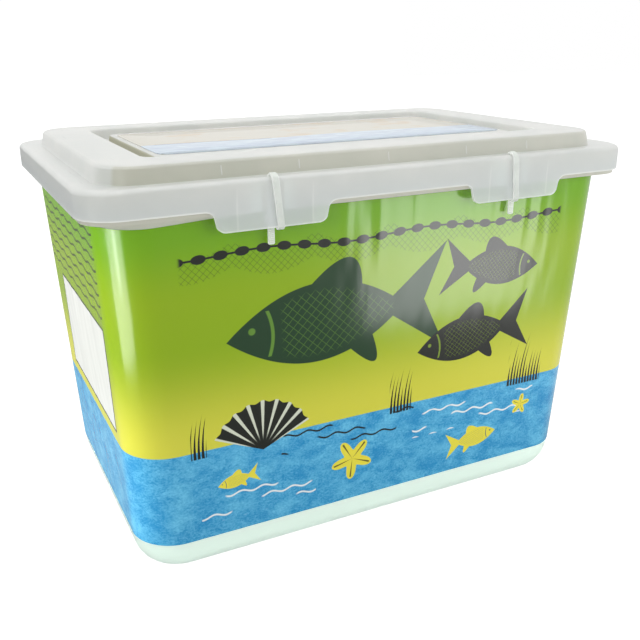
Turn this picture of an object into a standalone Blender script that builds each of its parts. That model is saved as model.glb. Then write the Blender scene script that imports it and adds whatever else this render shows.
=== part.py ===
# Lidded storage tub: a tapered moulded tub, a push-fit lid with latch tabs, a printed film sleeve round
# the walls, a printed label on the lid and two cable ties. Metres, +Z up. The origin is at the centre of
# the base's underside, and -Y is the front.

import math

import bmesh
import bpy

MM = 0.001
GAP = 0.3 * MM
CORNER_STEPS = 8
ROUND_STEPS = 4
SHARP_ANGLE = 35
CUT_MARGIN = 10 * MM

# Tub
WALL = 1.6 * MM
TUB_BASE_HALF = (133.3 * MM, 83.3 * MM)
TUB_DRAFT = 0.0445
TUB_CORNER = 23.0 * MM
BASE_ROUND = 20.0 * MM
BASE_ROUND_STEPS = 6
RIM_TOP = 203.4 * MM
RIM_LIP_BOTTOM = 190.8 * MM
NOTCH_WIDTH = 12.0 * MM
NOTCH_INNER_Y = 92.55 * MM

# Lid
SKIRT_HALF = (150.0 * MM, 99.0 * MM)
SKIRT_CORNER = 18.0 * MM
SKIRT_BOTTOM = 193.0 * MM
SKIRT_TOP = 206.2 * MM
SKIRT_ROUND = 2.6 * MM
PLATEAU_FOOT_HALF = (139.0 * MM, 87.0 * MM)
PLATEAU_FOOT_Z = 205.2 * MM
PLATEAU_HALF = (137.2 * MM, 85.2 * MM)
PLATEAU_CORNER = 15.0 * MM
PLATEAU_TOP = 213.4 * MM
PLATEAU_ROUND = 2.2 * MM
GROOVE_HALF = (113.0 * MM, 63.5 * MM)
GROOVE_CORNER = 8.0 * MM
GROOVE_FLOOR = 207.6 * MM
PANEL_HALF = (104.0 * MM, 53.0 * MM)
PANEL_CORNER = 5.0 * MM
PANEL_TOP = 211.4 * MM
EDGE_ROUND = 0.7 * MM
TAB_BOTTOM = 183.2 * MM
TAB_CENTRES = (-65.7 * MM, 70.7 * MM)
TAB_TOP_WIDTH = 64.5 * MM
TAB_BOTTOM_WIDTH = 56.0 * MM
TAB_FLARE = 4.0 * MM
TAB_CORNER = 3.5 * MM

# Labels
LABEL_THICKNESS = 0.4 * MM
SLEEVE_BOTTOM = 21.9 * MM
SLEEVE_TOP = 189.6 * MM
LID_LABEL_HALF = (101.5 * MM, 45.5 * MM)
LID_LABEL_CORNER = 6.0 * MM

# Cable ties: the x of the strap at the shelf and at the tab's lower edge, and of the tail
TIES = {
    "tie_left": {"top": -65.6 * MM, "bottom": -63.4 * MM, "tail": -65.9 * MM},
    "tie_right": {"top": 68.4 * MM, "bottom": 69.9 * MM, "tail": 71.2 * MM},
}
STRAP_WIDTH = 3.2 * MM
STRAP_THICKNESS = 1.1 * MM
STRAP_INNER_Y = -94.65 * MM
TAIL_END = 174.6 * MM
HEAD_SIZE = (5.8 * MM, 4.2 * MM, 4.6 * MM)
HEAD_BOTTOM = 184.2 * MM
HEAD_ENTRY = 0.5 * MM
SLOT_BEND = 1.5 * MM
TAB_BEND = 0.9 * MM
SLOT_SIZE = (6.4 * MM, 2.6 * MM)

POLYPROPYLENE = (0.80, 0.82, 0.79, 1.0)
FROSTED_LID = (0.86, 0.87, 0.85, 1.0)
PRINTED_GREEN = (0.33, 0.52, 0.09, 1.0)
PRINTED_CREAM = (0.80, 0.78, 0.62, 1.0)
CLEAR_NYLON = (0.85, 0.87, 0.85, 1.0)


def clear_scene():
    for obj in list(bpy.data.objects):
        bpy.data.objects.remove(obj, do_unlink=True)


def make_collection(name, hidden=False):
    collection = bpy.data.collections.new(name)
    collection.hide_render = hidden
    bpy.context.scene.collection.children.link(collection)
    return collection


def make_material(name, colour, roughness, transmission=0.0):
    material = bpy.data.materials.new(name)
    material.use_nodes = True
    shader = material.node_tree.nodes["Principled BSDF"]
    shader.inputs["Base Color"].default_value = colour
    shader.inputs["Roughness"].default_value = roughness
    shader.inputs["Metallic"].default_value = 0.0
    shader.inputs["Transmission Weight"].default_value = transmission
    return material


def link_object(name, mesh, collection, material=None):
    obj = bpy.data.objects.new(name, mesh)
    collection.objects.link(obj)
    if material is not None:
        mesh.materials.append(material)
        mesh.shade_smooth()
        mesh.set_sharp_from_angle(angle=math.radians(SHARP_ANGLE))
    return obj


def mesh_from_bmesh(name, bm):
    mesh = bpy.data.meshes.new(name)
    bm.to_mesh(mesh)
    bm.free()
    return mesh


def rounded_rectangle(half, radius, steps=CORNER_STEPS):
    # Points of the outline, counter-clockwise from the +X side
    half_x, half_y = half
    centres = ((1, 1, 0), (-1, 1, 90), (-1, -1, 180), (1, -1, 270))
    points = []
    for sign_x, sign_y, start in centres:
        for step in range(steps + 1):
            angle = math.radians(start + 90 * step / steps)
            x = sign_x * (half_x - radius) + radius * math.cos(angle)
            y = sign_y * (half_y - radius) + radius * math.sin(angle)
            points.append((x, y))
    return points


def loft_rings(name, rings, cap_first=False, cap_last=False):
    # Skin through rounded rectangles of unlike size; each ring is (half sizes, corner radius, z).
    # Faces look outward where the rings climb.
    bm = bmesh.new()
    loops = []
    for half, radius, z in rings:
        loops.append([bm.verts.new((x, y, z)) for x, y in rounded_rectangle(half, radius)])
    for lower, upper in zip(loops, loops[1:]):
        count = len(lower)
        for index in range(count):
            following = (index + 1) % count
            bm.faces.new((lower[index], lower[following], upper[following], upper[index]))
    if cap_first:
        bm.faces.new(reversed(loops[0]))
    if cap_last:
        bm.faces.new(loops[-1])
    return mesh_from_bmesh(name, bm)


def inset(half, distance):
    return (half[0] - distance, half[1] - distance)


def add_solidify(obj, thickness, offset=-1.0):
    modifier = obj.modifiers.new("Thickness", "SOLIDIFY")
    modifier.thickness = thickness
    modifier.offset = offset
    modifier.use_even_offset = True


def add_boolean(obj, other, operation):
    modifier = obj.modifiers.new(operation.title() + "_" + other.name, "BOOLEAN")
    modifier.operation = operation
    modifier.solver = "EXACT"
    modifier.object = other


def box_mesh(name, size, centre):
    bm = bmesh.new()
    bmesh.ops.create_cube(bm, size=1.0)
    bmesh.ops.scale(bm, vec=size, verts=bm.verts)
    bmesh.ops.translate(bm, vec=centre, verts=bm.verts)
    return mesh_from_bmesh(name, bm)


def add_cutter(name, mesh, collection):
    cutter = link_object(name, mesh, collection)
    cutter.hide_render = True
    cutter.display_type = "WIRE"
    return cutter


def flat_outline(name, points, half_thickness):
    # A filled 2D curve in the XY plane, turned into a closed mesh
    curve = bpy.data.curves.new(name, "CURVE")
    curve.dimensions = "2D"
    curve.fill_mode = "BOTH"
    curve.extrude = half_thickness
    spline = curve.splines.new("POLY")
    spline.points.add(len(points) - 1)
    for point, (x, y) in zip(spline.points, points):
        point.co = (x, y, 0.0, 1.0)
    spline.use_cyclic_u = True
    guide = bpy.data.objects.new(name + "_outline", curve)
    bpy.context.scene.collection.objects.link(guide)
    bpy.context.view_layer.update()
    evaluated = guide.evaluated_get(bpy.context.evaluated_depsgraph_get())
    mesh = bpy.data.meshes.new_from_object(evaluated)
    bpy.data.objects.remove(guide, do_unlink=True)
    bm = bmesh.new()
    bm.from_mesh(mesh)
    bmesh.ops.remove_doubles(bm, verts=bm.verts, dist=0.00001)
    bmesh.ops.recalc_face_normals(bm, faces=bm.faces)
    bpy.data.meshes.remove(mesh)
    return mesh_from_bmesh(name, bm)


def arc(centre, radius, start, end, steps):
    points = []
    for step in range(steps + 1):
        angle = math.radians(start + (end - start) * step / steps)
        points.append((centre[0] + radius * math.cos(angle), centre[1] + radius * math.sin(angle)))
    return points


def tub_half(z, offset=0.0):
    grow = TUB_DRAFT * z + offset
    return (TUB_BASE_HALF[0] + grow, TUB_BASE_HALF[1] + grow)


def build_tub(parts, cutters):
    # The skin is the wall's outer face and the rim's underside; the wall is added on its other side
    rings = []
    for step in range(BASE_ROUND_STEPS + 1):
        angle = math.radians(90 * step / BASE_ROUND_STEPS)
        z = BASE_ROUND * (1 - math.cos(angle))
        depth = BASE_ROUND * (1 - math.sin(angle))
        rings.append((inset(tub_half(z), depth), TUB_CORNER - depth, z))
    rim_under = RIM_TOP - WALL
    lip_half = inset(SKIRT_HALF, WALL + GAP + WALL)
    lip_corner = SKIRT_CORNER - 2 * WALL - GAP
    rings.append((tub_half(rim_under - EDGE_ROUND), TUB_CORNER, rim_under - EDGE_ROUND))
    rings.append((tub_half(rim_under, EDGE_ROUND), TUB_CORNER + EDGE_ROUND, rim_under))
    rings.append((inset(lip_half, EDGE_ROUND), lip_corner - EDGE_ROUND, rim_under))
    rings.append((lip_half, lip_corner, rim_under - EDGE_ROUND))
    rings.append((lip_half, lip_corner, RIM_LIP_BOTTOM))
    mesh = loft_rings("tub", rings, cap_first=True)
    material = make_material("tub_polypropylene", POLYPROPYLENE, 0.35, 0.5)
    tub = link_object("tub", mesh, parts, material)
    add_solidify(tub, WALL)
    notch_depth = SKIRT_HALF[1] - NOTCH_INNER_Y
    notch_height = RIM_TOP - RIM_LIP_BOTTOM + CUT_MARGIN
    for name, places in TIES.items():
        middle = 0.5 * (places["top"] + places["bottom"])
        size = (NOTCH_WIDTH, notch_depth, notch_height)
        centre = (middle, -NOTCH_INNER_Y - notch_depth / 2, (RIM_TOP + RIM_LIP_BOTTOM) / 2)
        cutter = add_cutter("notch_" + name, box_mesh("notch_" + name, size, centre), cutters)
        add_boolean(tub, cutter, "DIFFERENCE")
    return tub


def lid_rings():
    # From the skirt's lower edge up over the shelf, plateau and groove to the centre panel
    rings = [(SKIRT_HALF, SKIRT_CORNER, TAB_BOTTOM)]
    for step in range(ROUND_STEPS + 1):
        angle = math.radians(90 * step / ROUND_STEPS)
        depth = SKIRT_ROUND * (1 - math.cos(angle))
        z = SKIRT_TOP - SKIRT_ROUND * (1 - math.sin(angle))
        rings.append((inset(SKIRT_HALF, depth), SKIRT_CORNER - depth, z))
    foot_corner = PLATEAU_CORNER + PLATEAU_FOOT_HALF[0] - PLATEAU_HALF[0]
    foot_outer = inset(PLATEAU_FOOT_HALF, -EDGE_ROUND)
    rings.append((foot_outer, foot_corner + EDGE_ROUND, PLATEAU_FOOT_Z))
    rings.append((PLATEAU_FOOT_HALF, foot_corner, PLATEAU_FOOT_Z + EDGE_ROUND))
    for step in range(ROUND_STEPS + 1):
        angle = math.radians(90 * step / ROUND_STEPS)
        depth = PLATEAU_ROUND * (1 - math.cos(angle))
        z = PLATEAU_TOP - PLATEAU_ROUND * (1 - math.sin(angle))
        rings.append((inset(PLATEAU_HALF, depth), PLATEAU_CORNER - depth, z))
    rings.append((inset(GROOVE_HALF, -EDGE_ROUND), GROOVE_CORNER + EDGE_ROUND, PLATEAU_TOP))
    rings.append((GROOVE_HALF, GROOVE_CORNER, PLATEAU_TOP - EDGE_ROUND))
    rings.append((inset(GROOVE_HALF, EDGE_ROUND), GROOVE_CORNER - EDGE_ROUND, GROOVE_FLOOR + EDGE_ROUND))
    rings.append((inset(GROOVE_HALF, 2 * EDGE_ROUND), GROOVE_CORNER - 2 * EDGE_ROUND, GROOVE_FLOOR))
    rings.append((inset(PANEL_HALF, -EDGE_ROUND), PANEL_CORNER + EDGE_ROUND, GROOVE_FLOOR))
    rings.append((PANEL_HALF, PANEL_CORNER, GROOVE_FLOOR + EDGE_ROUND))
    rings.append((PANEL_HALF, PANEL_CORNER, PANEL_TOP - EDGE_ROUND))
    rings.append((inset(PANEL_HALF, EDGE_ROUND), PANEL_CORNER - EDGE_ROUND, PANEL_TOP))
    return rings


def tab_edge(centre_x):
    # One tab's outline from left to right: a flare out of the skirt's edge, then a rounded lower corner
    half_top = TAB_TOP_WIDTH / 2
    half_bottom = TAB_BOTTOM_WIDTH / 2
    lean = math.degrees(math.atan2(half_top - half_bottom, SKIRT_BOTTOM - TAB_BOTTOM))
    flare = arc((-half_top, SKIRT_BOTTOM - TAB_FLARE), TAB_FLARE, 90, lean, ROUND_STEPS)
    corner_centre = (-half_bottom + TAB_CORNER, TAB_BOTTOM + TAB_CORNER)
    corner = arc(corner_centre, TAB_CORNER, 180 + lean, 270, ROUND_STEPS)
    left = flare + corner
    right = [(-x, z) for x, z in reversed(left)]
    return [(centre_x + x, z) for x, z in left + right]


def skirt_trimmer(cutters):
    # Everything under the skirt's lower edge except the tabs, pushed through from front to back
    reach = SKIRT_HALF[0] + CUT_MARGIN
    below = TAB_BOTTOM - CUT_MARGIN
    outline = [(-reach, SKIRT_BOTTOM)]
    for centre_x in TAB_CENTRES:
        outline += tab_edge(centre_x)
    outline += [(reach, SKIRT_BOTTOM), (reach, below), (-reach, below)]
    mesh = flat_outline("skirt_trim", outline, SKIRT_HALF[1] + CUT_MARGIN)
    cutter = add_cutter("skirt_trim", mesh, cutters)
    cutter.rotation_euler = (math.radians(90), 0, 0)
    return cutter


def build_lid(parts, cutters):
    mesh = loft_rings("lid", lid_rings(), cap_last=True)
    material = make_material("lid_polypropylene", FROSTED_LID, 0.38, 0.4)
    lid = link_object("lid", mesh, parts, material)
    add_solidify(lid, WALL)
    add_boolean(lid, skirt_trimmer(cutters), "DIFFERENCE")
    for name, places in TIES.items():
        middle = 0.5 * (places["top"] + places["tail"])
        size = SLOT_SIZE + (CUT_MARGIN,)
        slot = box_mesh("slot_" + name, size, (middle, STRAP_INNER_Y, SKIRT_TOP))
        add_boolean(lid, add_cutter("slot_" + name, slot, cutters), "DIFFERENCE")
    return lid


def build_wrap_label(parts):
    # A film sleeve, open at the top and the bottom, a gap off the tub's wall
    stand_off = GAP + LABEL_THICKNESS
    rings = []
    for z in (SLEEVE_BOTTOM, SLEEVE_TOP):
        rings.append((tub_half(z, stand_off), TUB_CORNER + stand_off, z))
    mesh = loft_rings("wrap_label", rings)
    material = make_material("wrap_label_print", PRINTED_GREEN, 0.25)
    label = link_object("wrap_label", mesh, parts, material)
    add_solidify(label, LABEL_THICKNESS)
    return label


def build_lid_label(parts):
    outline = rounded_rectangle(LID_LABEL_HALF, LID_LABEL_CORNER, 5)
    mesh = flat_outline("lid_label", outline, LABEL_THICKNESS / 2)
    material = make_material("lid_label_print", PRINTED_CREAM, 0.3)
    label = link_object("lid_label", mesh, parts, material)
    label.location.z = PANEL_TOP + GAP + LABEL_THICKNESS / 2
    return label


def strap_route(places):
    # The strap's middle line: up from the tail through the head and the shelf slot, over the skirt,
    # leaning sideways down its face, round the tab's lower edge and up into the head
    stand_off = GAP + STRAP_THICKNESS / 2
    top = SKIRT_TOP + stand_off
    front = -SKIRT_HALF[1] - stand_off
    back = -SKIRT_HALF[1] + WALL + stand_off
    bottom = TAB_BOTTOM - stand_off
    skirt_bend = SKIRT_ROUND + stand_off
    over = arc((STRAP_INNER_Y - SLOT_BEND, top - SLOT_BEND), SLOT_BEND, 0, 90, 3)
    over += arc((front + skirt_bend, top - skirt_bend), skirt_bend, 90, 180, 5)
    under = arc((front + TAB_BEND, bottom + TAB_BEND), TAB_BEND, 180, 270, 3)
    under += arc((back - TAB_BEND, bottom + TAB_BEND), TAB_BEND, 270, 360, 3)
    entry_x = 0.5 * (places["bottom"] + places["tail"])
    route = [(places["tail"], STRAP_INNER_Y, TAIL_END)]
    route.append((places["tail"], STRAP_INNER_Y, HEAD_BOTTOM + HEAD_SIZE[2]))
    route += [(places["top"], y, z) for y, z in over]
    route += [(places["bottom"], y, z) for y, z in under]
    route.append((entry_x, back, HEAD_BOTTOM + HEAD_ENTRY))
    return route


def build_tie(name, places, parts, cutters):
    bm = bmesh.new()
    rows = []
    for x, y, z in strap_route(places):
        left = bm.verts.new((x - STRAP_WIDTH / 2, y, z))
        right = bm.verts.new((x + STRAP_WIDTH / 2, y, z))
        rows.append((left, right))
    for (left, right), (next_left, next_right) in zip(rows, rows[1:]):
        bm.faces.new((left, right, next_right, next_left))
    mesh = mesh_from_bmesh(name, bm)
    tie = link_object(name, mesh, parts, make_material(name + "_nylon", CLEAR_NYLON, 0.3, 0.6))
    add_solidify(tie, STRAP_THICKNESS, 0.0)
    head_y = -SKIRT_HALF[1] + WALL + GAP + HEAD_SIZE[1] / 2
    centre = (places["tail"], head_y, HEAD_BOTTOM + HEAD_SIZE[2] / 2)
    head = add_cutter("head_" + name, box_mesh("head_" + name, HEAD_SIZE, centre), cutters)
    add_boolean(tie, head, "UNION")
    return tie


def main():
    clear_scene()
    parts = make_collection("storage_tub")
    cutters = make_collection("cutters", hidden=True)
    build_tub(parts, cutters)
    build_lid(parts, cutters)
    build_wrap_label(parts)
    build_lid_label(parts)
    for name, places in TIES.items():
        build_tie(name, places, parts, cutters)


main()
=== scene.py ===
import math

import bmesh
import bpy
from mathutils import Matrix, Vector


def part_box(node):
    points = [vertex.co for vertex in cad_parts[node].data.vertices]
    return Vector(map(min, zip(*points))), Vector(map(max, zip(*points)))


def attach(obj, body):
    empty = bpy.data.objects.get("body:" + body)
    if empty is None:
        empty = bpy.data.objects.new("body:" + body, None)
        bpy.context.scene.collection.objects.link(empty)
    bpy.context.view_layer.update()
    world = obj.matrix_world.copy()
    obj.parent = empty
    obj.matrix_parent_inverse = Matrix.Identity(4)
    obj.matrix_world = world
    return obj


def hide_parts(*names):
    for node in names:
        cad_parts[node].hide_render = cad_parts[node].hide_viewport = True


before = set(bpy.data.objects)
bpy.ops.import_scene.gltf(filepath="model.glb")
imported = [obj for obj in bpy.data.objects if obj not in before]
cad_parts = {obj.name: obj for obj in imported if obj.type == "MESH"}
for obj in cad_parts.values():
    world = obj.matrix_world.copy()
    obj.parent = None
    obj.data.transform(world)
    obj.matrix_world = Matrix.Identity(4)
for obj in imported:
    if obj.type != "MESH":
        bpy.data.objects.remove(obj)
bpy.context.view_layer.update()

mm = 0.001
lidLow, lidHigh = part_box("lid")
tubLow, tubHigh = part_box("tub")
wrapLow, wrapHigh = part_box("wrap_label")


# shared mesh tools

def meshPiece(name, bm, smoothAngle=40):
    mesh = bpy.data.meshes.new(name)
    bm.to_mesh(mesh)
    bm.free()
    piece = bpy.data.objects.new(name, mesh)
    bpy.context.scene.collection.objects.link(piece)
    mesh.shade_smooth()
    mesh.set_sharp_from_angle(angle=math.radians(smoothAngle))
    return piece


def applyModifiers(piece, smoothAngle=40):
    bpy.context.view_layer.update()
    evaluated = piece.evaluated_get(bpy.context.evaluated_depsgraph_get())
    mesh = bpy.data.meshes.new_from_object(evaluated)
    piece.modifiers.clear()
    piece.data = mesh
    mesh.shade_smooth()
    mesh.set_sharp_from_angle(angle=math.radians(smoothAngle))
    return piece


def thicken(piece, thickness, offset=-1.0):
    solidify = piece.modifiers.new("wall", "SOLIDIFY")
    solidify.thickness = thickness
    solidify.offset = offset
    solidify.use_even_offset = True


def softenEdges(piece, width, segments=2):
    bevel = piece.modifiers.new("soft edges", "BEVEL")
    bevel.width = width
    bevel.segments = segments
    bevel.limit_method = "ANGLE"
    bevel.angle_limit = math.radians(50)


def arc(centre, radius, start, end, steps):
    points = []
    for step in range(steps + 1):
        angle = math.radians(start + (end - start) * step / steps)
        points.append((centre[0] + radius * math.cos(angle), centre[1] + radius * math.sin(angle)))
    return points


def ringPoints(half, radius, frontCount, sideCount, cornerSteps):
    # one rounded rectangle, counter-clockwise from the front's left end
    edgeX, edgeY = half[0] - radius, half[1] - radius
    across = [2 * index / frontCount - 1 for index in range(frontCount)]
    along = [2 * index / sideCount - 1 for index in range(sideCount)]
    points = [(edgeX * share, -half[1]) for share in across]
    points += arc((edgeX, -edgeY), radius, -90, 0, cornerSteps)[:-1]
    points += [(half[0], edgeY * share) for share in along]
    points += arc((edgeX, edgeY), radius, 0, 90, cornerSteps)[:-1]
    points += [(-edgeX * share, half[1]) for share in across]
    points += arc((-edgeX, edgeY), radius, 90, 180, cornerSteps)[:-1]
    points += [(-half[0], -edgeY * share) for share in along]
    points += arc((-edgeX, -edgeY), radius, 180, 270, cornerSteps)[:-1]
    return points


def liftRing(section, counts):
    # a (half size, corner radius, height) section as 3-D points
    half, radius, z = section
    return [(x, y, z) for x, y in ringPoints(half, radius, *counts)]


def skinRings(bm, rings, capFirst=False, capLast=False):
    # rings are lists of 3-D points of equal length; faces look outward where they climb
    loops = [[bm.verts.new(point) for point in ring] for ring in rings]
    for lower, upper in zip(loops, loops[1:]):
        count = len(lower)
        for index in range(count):
            following = (index + 1) % count
            bm.faces.new((lower[index], lower[following], upper[following], upper[index]))
    if capFirst:
        bm.faces.new(reversed(loops[0]))
    if capLast:
        bm.faces.new(loops[-1])
    return loops


def inset(half, distance):
    return (half[0] - distance, half[1] - distance)


def roundSections(corners, steps=5):
    # corners are (half size, corner radius, height, bend); each bend becomes an exact arc of that radius
    flat = [Vector((half[0], half[1], radius, z)) for half, radius, z, bend in corners]
    sections = [flat[0]]
    for index in range(1, len(flat) - 1):
        bend = corners[index][3]
        here = flat[index]
        back = Vector((flat[index - 1][0] - here[0], flat[index - 1][3] - here[3]))
        ahead = Vector((flat[index + 1][0] - here[0], flat[index + 1][3] - here[3]))
        turn = math.pi - back.angle(ahead)
        if bend == 0 or turn < 0.01:
            sections.append(here)
            continue
        reach = bend * math.tan(turn / 2)
        start = here.lerp(flat[index - 1], reach / back.length)
        end = here.lerp(flat[index + 1], reach / ahead.length)
        weight = math.cos(turn / 2)
        for step in range(steps + 1):
            t = step / steps
            parts = ((1 - t) ** 2, 2 * t * (1 - t) * weight, t ** 2)
            sections.append((start * parts[0] + here * parts[1] + end * parts[2]) / sum(parts))
    sections.append(flat[-1])
    return [((x, y), radius, z) for x, y, radius, z in sections]


# shader tools

def put(tree, value, socket):
    if isinstance(value, bpy.types.NodeSocket):
        tree.links.new(value, socket)
    else:
        socket.default_value = value


def calc(tree, operation, *values):
    node = tree.nodes.new("ShaderNodeMath")
    node.operation = operation
    for socket, value in zip(node.inputs, values):
        put(tree, value, socket)
    return node.outputs[0]


def chain(tree, operation, first, *others):
    # one operation over several values, left to right
    for other in others:
        first = calc(tree, operation, first, other)
    return first


def times(tree, *values):
    return chain(tree, "MULTIPLY", *values)


def largest(tree, *values):
    return chain(tree, "MAXIMUM", *values)


def minus(tree, first, second):
    return calc(tree, "SUBTRACT", first, second)


def soften(tree, value, start, end):
    # smooth step from 0 at start to 1 at end, whichever of the two is larger
    node = tree.nodes.new("ShaderNodeMapRange")
    node.interpolation_type = "SMOOTHSTEP"
    put(tree, value, node.inputs["Value"])
    put(tree, start, node.inputs["From Min"])
    put(tree, end, node.inputs["From Max"])
    return node.outputs["Result"]


def blendColours(tree, factor, first, second):
    node = tree.nodes.new("ShaderNodeMix")
    node.data_type = "RGBA"
    put(tree, factor, node.inputs[0])
    put(tree, first, node.inputs[6])
    put(tree, second, node.inputs[7])
    return node.outputs[2]


def noise(tree, vector, scale, detail=4.0, roughness=0.55, distortion=0.0):
    node = tree.nodes.new("ShaderNodeTexNoise")
    put(tree, vector, node.inputs["Vector"])
    put(tree, scale, node.inputs["Scale"])
    node.inputs["Detail"].default_value = detail
    node.inputs["Roughness"].default_value = roughness
    node.inputs["Distortion"].default_value = distortion
    return node.outputs[0]


def stretch(tree, vector, scale, rotation=(0, 0, 0)):
    node = tree.nodes.new("ShaderNodeMapping")
    put(tree, vector, node.inputs["Vector"])
    node.inputs["Rotation"].default_value = rotation
    node.inputs["Scale"].default_value = scale
    return node.outputs[0]


def splitAxes(tree, vector):
    node = tree.nodes.new("ShaderNodeSeparateXYZ")
    put(tree, vector, node.inputs[0])
    return node.outputs


def colour(red, green, blue):
    # screen values 0-255 to the linear colour that a socket holds
    linear = []
    for level in (red, green, blue):
        share = level / 255
        linear.append(share / 12.92 if share <= 0.04045 else ((share + 0.055) / 1.055) ** 2.4)
    return (*linear, 1.0)


def newMaterial(name):
    material = bpy.data.materials.new(name)
    material.use_nodes = True
    tree = material.node_tree
    return material, tree, tree.nodes["Principled BSDF"]


def newGroup(name, inputs, outputs):
    # inputs are labels with their usual numbers; outputs are labels
    group = bpy.data.node_groups.new(name, "ShaderNodeTree")
    for label, value in inputs.items():
        socket = group.interface.new_socket(label, in_out="INPUT", socket_type="NodeSocketFloat")
        socket.default_value = value
    for label in outputs:
        group.interface.new_socket(label, in_out="OUTPUT", socket_type="NodeSocketFloat")
    return group, group.nodes.new("NodeGroupInput").outputs, group.nodes.new("NodeGroupOutput").inputs


def placeGroup(tree, group, **values):
    node = tree.nodes.new("ShaderNodeGroup")
    node.node_tree = group
    for label, value in values.items():
        put(tree, value, node.inputs[label])
    return node.outputs


def bumpNormal(tree, height, strength, distance):
    node = tree.nodes.new("ShaderNodeBump")
    node.inputs["Strength"].default_value = strength
    node.inputs["Distance"].default_value = distance
    put(tree, height, node.inputs["Height"])
    return node.outputs[0]


# camera and light

viewValues = {
    "spot": (-0.20456, -0.4270, 0.26587),
    "turn": -26.177,      # degrees from +Y towards -X, seen from above
    "tilt": -19.638,
    "roll": -0.512,
    "lens": 45.39,
}


def makeCamera(values):
    data = bpy.data.cameras.new("camera")
    data.lens = values["lens"]
    data.sensor_width = 36.0
    data.clip_start = 0.01
    data.clip_end = 50.0
    camera = bpy.data.objects.new("camera", data)
    turn = Matrix.Rotation(math.radians(values["turn"]), 4, "Z")
    tilt = Matrix.Rotation(math.radians(90 + values["tilt"]), 4, "X")
    roll = Matrix.Rotation(math.radians(values["roll"]), 4, "Z")
    camera.matrix_world = Matrix.Translation(values["spot"]) @ turn @ tilt @ roll
    bpy.context.scene.collection.objects.link(camera)
    bpy.context.scene.camera = camera


studioValues = {
    "frontLevel": 0.49,      # strength of the surroundings in front, and how much more they give behind
    "behindMore": 0.55,
    "rightLess": 0.18,
    "floorTone": 0.28,
    "floorGlowBehind": 0.14,
    "floorGlowRight": 0.35,
    "floorGlowSeen": 0.9,
    # place, aim, size, power, and the kind of light that is left out
    "lights": {
        "overhead": ((0.1, 0.3, 1.5), (0, 0, 0.1), (1.6, 1.2), 6.6, None),
        "front right": ((0.34, -0.56, 0.26), (0.05, -0.09, 0.13), (0.60, 0.40), 1.9, "glossy"),
        "low left": ((-0.50, -0.16, 0.07), (-0.14, -0.09, 0.10), (0.05, 0.13), 0.12, None),
        "front left": ((-0.75, -0.62, 0.45), (-0.12, -0.08, 0.12), (0.30, 0.50), 2.1, "glossy"),
    },
    # these reach the glossy wrap label only
    "labelLights": {
        "front glare": ((0.20, -0.30, 0.070), (0.20, -0.09, 0.070), (0.18, 0.12), 0.24, "diffuse"),
        "corner glare": ((-0.33, -0.12, 0.080), (-0.14, -0.085, 0.090), (0.14, 0.13), 0.28, "diffuse"),
        "left fill": ((-0.52, 0.05, 0.10), (-0.14, 0.0, 0.11), (0.30, 0.20), 1.6, "glossy"),
    },
}


def softLight(name, spot, aim, size, power, without):
    data = bpy.data.lights.new(name, "AREA")
    data.shape = "RECTANGLE"
    data.size, data.size_y = size
    data.energy = power
    light = bpy.data.objects.new(name, data)
    light.location = spot
    light.rotation_euler = (Vector(aim) - Vector(spot)).to_track_quat("-Z", "Y").to_euler()
    light.visible_camera = False
    light.visible_diffuse = without != "diffuse"
    light.visible_glossy = without != "glossy"
    bpy.context.scene.collection.objects.link(light)
    return light


def makeWorld(values):
    world = bpy.data.worlds.new("studio")
    bpy.context.scene.world = world
    world.use_nodes = True
    tree = world.node_tree
    background = tree.nodes["Background"]
    axes = splitAxes(tree, tree.nodes.new("ShaderNodeTexCoord").outputs["Generated"])
    fromFront, toRight = soften(tree, axes["Y"], -0.75, 0.35), soften(tree, axes["X"], 0.35, 0.95)
    strength = calc(tree, "MULTIPLY_ADD", fromFront, values["behindMore"], values["frontLevel"])
    strength = calc(tree, "MULTIPLY_ADD", toRight, -values["rightLess"], strength)
    seen = tree.nodes.new("ShaderNodeLightPath").outputs["Is Camera Ray"]
    put(tree, largest(tree, strength, seen), background.inputs["Strength"])
    background.inputs["Color"].default_value = (1, 1, 1, 1)


def makeFloor(values):
    bm = bmesh.new()
    bmesh.ops.create_grid(bm, x_segments=2, y_segments=2, size=4.0)
    floor = meshPiece("floor", bm)
    floor.location.z = tubLow.z
    material, tree, shader = newMaterial("pale floor")
    place = tree.nodes.new("ShaderNodeTexCoord").outputs["Object"]
    axes = splitAxes(tree, place)
    dim = times(tree, soften(tree, axes["X"], -0.05, -0.20), soften(tree, axes["Y"], -0.05, 0.20))
    tone = calc(tree, "MULTIPLY_ADD", noise(tree, place, 6.0, 3.0), 0.06, values["floorTone"])
    tone = times(tree, tone, calc(tree, "MULTIPLY_ADD", dim, -0.4, 1.0))
    ground = tree.nodes.new("ShaderNodeCombineColor")
    for channel in ground.inputs[:3]:
        put(tree, tone, channel)
    put(tree, ground.outputs[0], shader.inputs["Base Color"])
    behind = calc(tree, "MULTIPLY_ADD", dim, -0.12, values["floorGlowBehind"])
    behind = times(tree, soften(tree, axes["Y"], -0.10, 0.15), behind)
    toRight = times(tree, soften(tree, axes["X"], 0.08, 0.32), values["floorGlowRight"])
    seen = tree.nodes.new("ShaderNodeLightPath").outputs["Is Camera Ray"]
    seen = times(tree, seen, values["floorGlowSeen"])
    put(tree, largest(tree, seen, behind, toRight), shader.inputs["Emission Strength"])
    shader.inputs["Emission Color"].default_value = (1, 1, 1, 1)
    shader.inputs["Roughness"].default_value = 0.9
    floor.data.materials.append(material)


def lightLabel(label, values):
    # two glares and a fill for the left end, which shine on the label alone and nothing shades
    alone = bpy.data.collections.new("glossy label")
    alone.objects.link(label)
    for name, settings in values["labelLights"].items():
        linking = softLight(name, *settings).light_linking
        linking.receiver_collection = alone
        linking.blocker_collection = alone


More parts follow.
